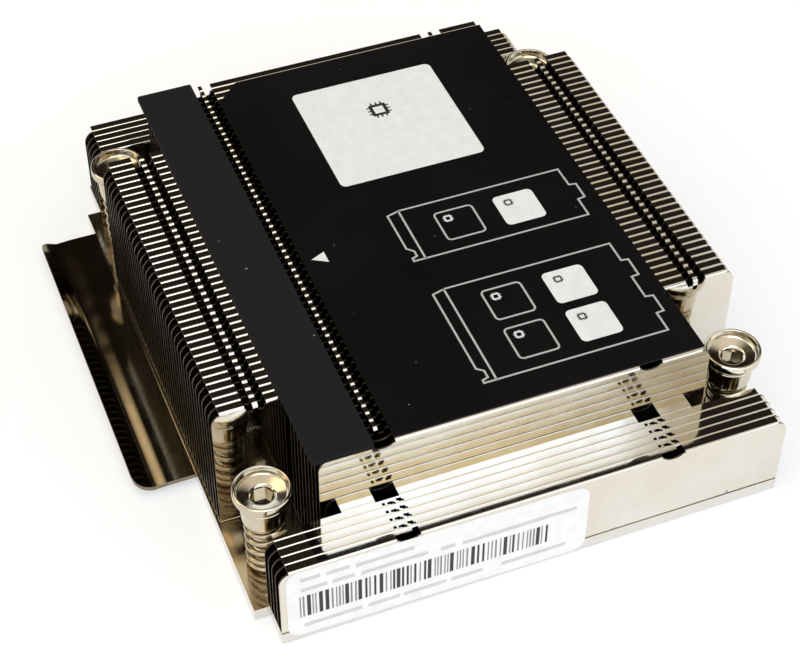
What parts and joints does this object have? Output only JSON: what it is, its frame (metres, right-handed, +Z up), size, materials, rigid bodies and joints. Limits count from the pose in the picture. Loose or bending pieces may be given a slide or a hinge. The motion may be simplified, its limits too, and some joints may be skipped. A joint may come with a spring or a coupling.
{
  "type": "server processor heatsink",
  "caption": "Low passive processor heatsink with a cross of folded sheet fins on a flat base, low fins front and back, sprung captive screws, a black top film and a foam strip.",
  "frame": {"origin": "middle of the four screws, on the underside of the base plate", "axes": "+Z up away from the processor, +X along the fins to the right, +Y across the fins to the back"},
  "size_m": [0.1003, 0.1105, 0.0285],
  "materials": {
    "plated_fins": "bright nickel plate",
    "plated_base": "bright nickel plate",
    "flange_sheet": "bright nickel plate",
    "plated_screws": "bright nickel plate",
    "coil_wire": "plated spring wire",
    "spring_steel": "plain",
    "grey_foam": "matte, fine cells",
    "black_film": "satin print",
    "white_paper": "satin paper"
  },
  "bodies": {
    "heatsink": {"base_plate": "plated_base", "side_flange": "flange_sheet", "wide_fins": "plated_fins", "front_centre_fins": "plated_fins", "back_centre_fins": "plated_fins", "front_short_fin": "plated_fins", "back_short_fin": "plated_fins", "front_low_fins": "plated_fins", "back_low_fins": "plated_fins", "foam_strip": "grey_foam", "top_film": "black_film", "paper_sticker": "white_paper", "spring_front_left": "coil_wire", "spring_front_right": "coil_wire", "spring_back_left": "coil_wire", "spring_back_right": "coil_wire"},
    "slider_front_left": {"clip_front_left": "spring_steel"},
    "screw_body_front_left": {"screw_front_left": "plated_screws"},
    "slider_front_right": {"clip_front_right": "spring_steel"},
    "screw_body_front_right": {"screw_front_right": "plated_screws"},
    "slider_back_left": {"clip_back_left": "spring_steel"},
    "screw_body_back_left": {"screw_back_left": "plated_screws"},
    "slider_back_right": {"clip_back_right": "spring_steel"},
    "screw_body_back_right": {"screw_back_right": "plated_screws"}
  },
  "joints": [
    {"name": "press_front_left", "type": "slide", "parent": "heatsink", "child": "slider_front_left", "axis": [0, 0, -1], "range_m": [0, 0.0035], "stiffness_N_per_m": 2000, "springref_m": -0.001, "deforming": ["spring_front_left"]},
    {"name": "turn_front_left", "type": "hinge", "parent": "slider_front_left", "child": "screw_body_front_left", "pos_m": [-0.04, -0.04, 0], "axis": [0, 0, -1], "continuous": true},
    {"name": "press_front_right", "type": "slide", "parent": "heatsink", "child": "slider_front_right", "axis": [0, 0, -1], "range_m": [0, 0.0035], "stiffness_N_per_m": 2000, "springref_m": -0.001, "deforming": ["spring_front_right"]},
    {"name": "turn_front_right", "type": "hinge", "parent": "slider_front_right", "child": "screw_body_front_right", "pos_m": [0.04, -0.04, 0], "axis": [0, 0, -1], "continuous": true},
    {"name": "press_back_left", "type": "slide", "parent": "heatsink", "child": "slider_back_left", "axis": [0, 0, -1], "range_m": [0, 0.0035], "stiffness_N_per_m": 2000, "springref_m": -0.001, "deforming": ["spring_back_left"]},
    {"name": "turn_back_left", "type": "hinge", "parent": "slider_back_left", "child": "screw_body_back_left", "pos_m": [-0.04, 0.04, 0], "axis": [0, 0, -1], "continuous": true},
    {"name": "press_back_right", "type": "slide", "parent": "heatsink", "child": "slider_back_right", "axis": [0, 0, -1], "range_m": [0, 0.0035], "stiffness_N_per_m": 2000, "springref_m": -0.001, "deforming": ["spring_back_right"]},
    {"name": "turn_back_right", "type": "hinge", "parent": "slider_back_right", "child": "screw_body_back_right", "pos_m": [0.04, 0.04, 0], "axis": [0, 0, -1], "continuous": true}
  ]
}
